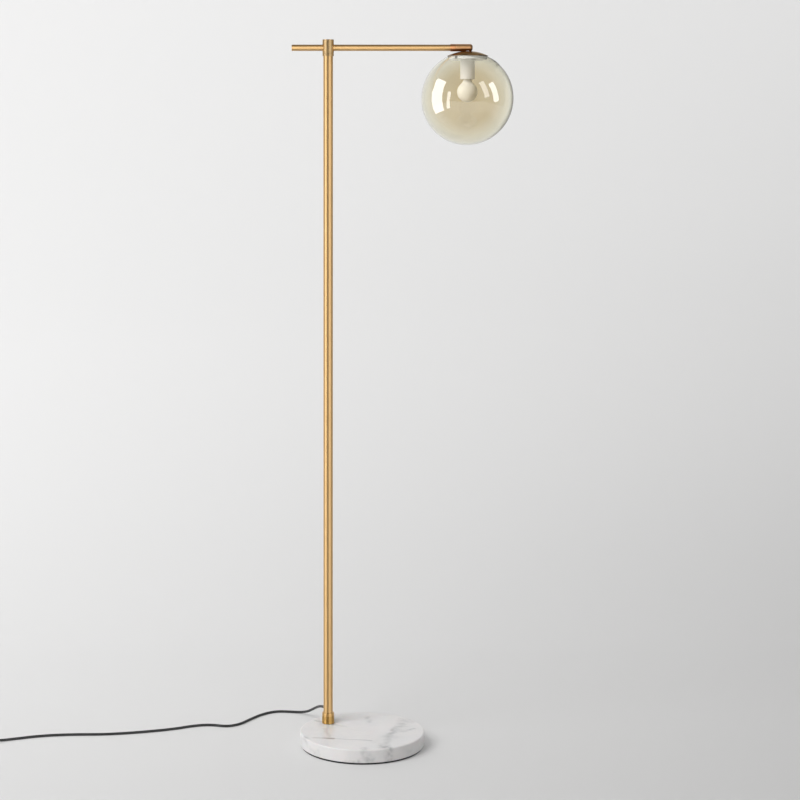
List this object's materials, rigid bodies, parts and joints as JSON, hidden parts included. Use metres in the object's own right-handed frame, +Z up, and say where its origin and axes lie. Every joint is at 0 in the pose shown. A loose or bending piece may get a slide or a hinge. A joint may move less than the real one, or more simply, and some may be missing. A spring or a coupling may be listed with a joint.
{
  "type": "floor lamp",
  "caption": "Floor lamp with a clear tinted glass globe on a swivelling side arm, brass pole and round marble foot, with a foot-switched cord.",
  "frame": {"origin": "centre of the marble foot's underside, on the floor", "axes": "+Z up the pole, +X along the arm towards the globe at rest, -Y towards the picture's viewer"},
  "size_m": [1.4163, 0.3838, 1.5574],
  "materials": {
    "marble": "honed white marble with grey veins",
    "rubber_pad": "matte",
    "satin_brass": "satin lacquered brass",
    "polished_brass": "polished brass",
    "copper_brass": "satin copper-toned brass",
    "copper_cap": "satin copper",
    "bare_brass": "bare brass",
    "steel": "zinc plated",
    "nickel": "nickel plated",
    "dark_screw": "blackened screw",
    "white_enamel": "white gloss enamel",
    "white_plastic": "white moulded plastic",
    "ceramic": "glazed ceramic",
    "nylon": "natural nylon",
    "black_plastic": "black moulded plastic",
    "black_cord": "black round cord",
    "white_wire": "white wire",
    "frosted_glass": "frosted glass",
    "clear_stem": "clear glass",
    "filament": "yellow coating",
    "tinted_glass": "clear champagne glass"
  },
  "bodies": {
    "base": {"foot_pad": "rubber_pad", "marble_disc": "marble", "base_stud": "steel", "stud_washer": "steel", "lock_washer": "steel", "stud_nut": "steel", "collar_gasket": "rubber_pad", "foot_collar": "satin_brass", "foot_lock_ring": "polished_brass", "pole_foot_plug": "steel", "lower_tube": "satin_brass", "pole_coupler": "steel", "upper_tube": "satin_brass", "strain_relief": "black_plastic", "pole_top_bush": "nylon", "swivel_ring": "satin_brass", "swivel_stop_screw": "steel", "pole_wire": "black_cord", "cord_lead": "black_cord", "cord_link": "black_cord", "cord_coil": "black_cord", "cord_tail": "black_cord", "switch_base": "black_plastic", "switch_cover": "black_plastic", "switch_spring": "steel", "switch_contacts": "bare_brass", "switch_wires": "black_cord", "switch_screws": "steel", "switch_reliefs": "black_plastic", "plug_body": "black_plastic", "plug_pins": "nickel", "plug_relief": "black_plastic"},
    "arm": {"hub": "satin_brass", "hub_spigot": "steel", "arm_clamp_screw": "steel", "arm_tube": "satin_brass", "arm_end_plug": "satin_brass", "fitting_ring": "copper_brass", "head_fitting": "copper_brass", "head_nipple": "steel", "arm_wire": "white_wire", "shade_cap": "copper_cap", "spacer_tube": "nylon", "gallery_nut": "steel", "shade_gallery": "white_enamel", "glass_springs": "steel", "spring_screws": "dark_screw", "lampholder_sleeve": "white_plastic", "nipple_nut": "steel", "lampholder_core": "ceramic", "lampholder_shell": "nickel", "centre_contact": "bare_brass"},
    "bulb": {"bulb_glass": "frosted_glass", "bulb_cap": "nickel", "bulb_tip": "nickel", "bulb_stem": "clear_stem", "bulb_filament": "filament"},
    "globe": {"shade_globe": "tinted_glass"},
    "button": {"switch_button": "black_plastic"}
  },
  "joints": [
    {"name": "arm_swivel", "type": "hinge", "parent": "base", "child": "arm", "pos_m": [-0.076, 0.055, 1.5268], "axis": [0, 0, 1], "range_deg": [-150, 150]},
    {"name": "globe_release", "type": "slide", "parent": "arm", "child": "globe", "axis": [0, 0, -1], "range_m": [0, 0.12]},
    {"name": "bulb_turn", "type": "hinge", "parent": "arm", "child": "bulb", "pos_m": [0.2255, 0.055, 1.4459], "axis": [0, 0, 1], "continuous": true},
    {"name": "button_press", "type": "slide", "parent": "base", "child": "button", "axis": [0, 0, -1], "range_m": [0, 0.003], "stiffness_N_per_m": 900, "springref_m": -0.003, "deforming": ["switch_spring"]}
  ]
}
